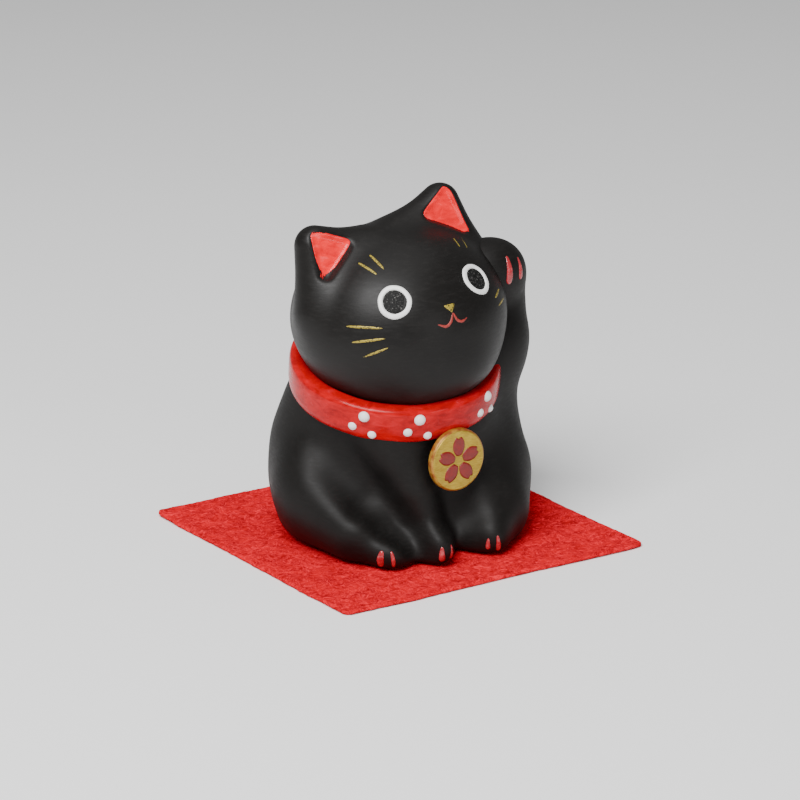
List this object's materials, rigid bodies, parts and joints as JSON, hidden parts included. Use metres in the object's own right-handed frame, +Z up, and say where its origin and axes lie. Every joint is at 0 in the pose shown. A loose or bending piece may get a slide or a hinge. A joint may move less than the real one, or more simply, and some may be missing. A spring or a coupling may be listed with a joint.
{
  "type": "beckoning cat figurine",
  "caption": "Small ceramic beckoning cat figurine, left paw raised beside its tilted head, red dotted collar and gold medallion, standing on a square red felt mat.",
  "frame": {"origin": "centre of the felt mat's underside", "axes": "+Z up; X and Y along the mat's sides; the cat looks towards -Y, turned 9 degrees towards -X, with its left side at +X"},
  "size_m": [0.088, 0.088, 0.0877],
  "materials": {
    "black_ceramic": "matte charcoal-black painted earthenware",
    "red_enamel": "glossy red enamel",
    "white_enamel": "glossy white enamel",
    "gold_paint": "brushed gold paint",
    "red_felt": "bright red fibrous felt"
  },
  "bodies": {
    "mat": {"felt_mat": "red_felt"},
    "figurine": {"torso": "black_ceramic", "head": "black_ceramic", "raised_arm": "black_ceramic", "tail": "black_ceramic", "collar": "red_enamel", "collar_dots": "white_enamel", "medallion": "gold_paint"}
  },
  "joints": [
    {"name": "figurine_lift", "type": "slide", "parent": "mat", "child": "figurine", "axis": [0, 0, 1], "range_m": [0, 0.03]}
  ]
}
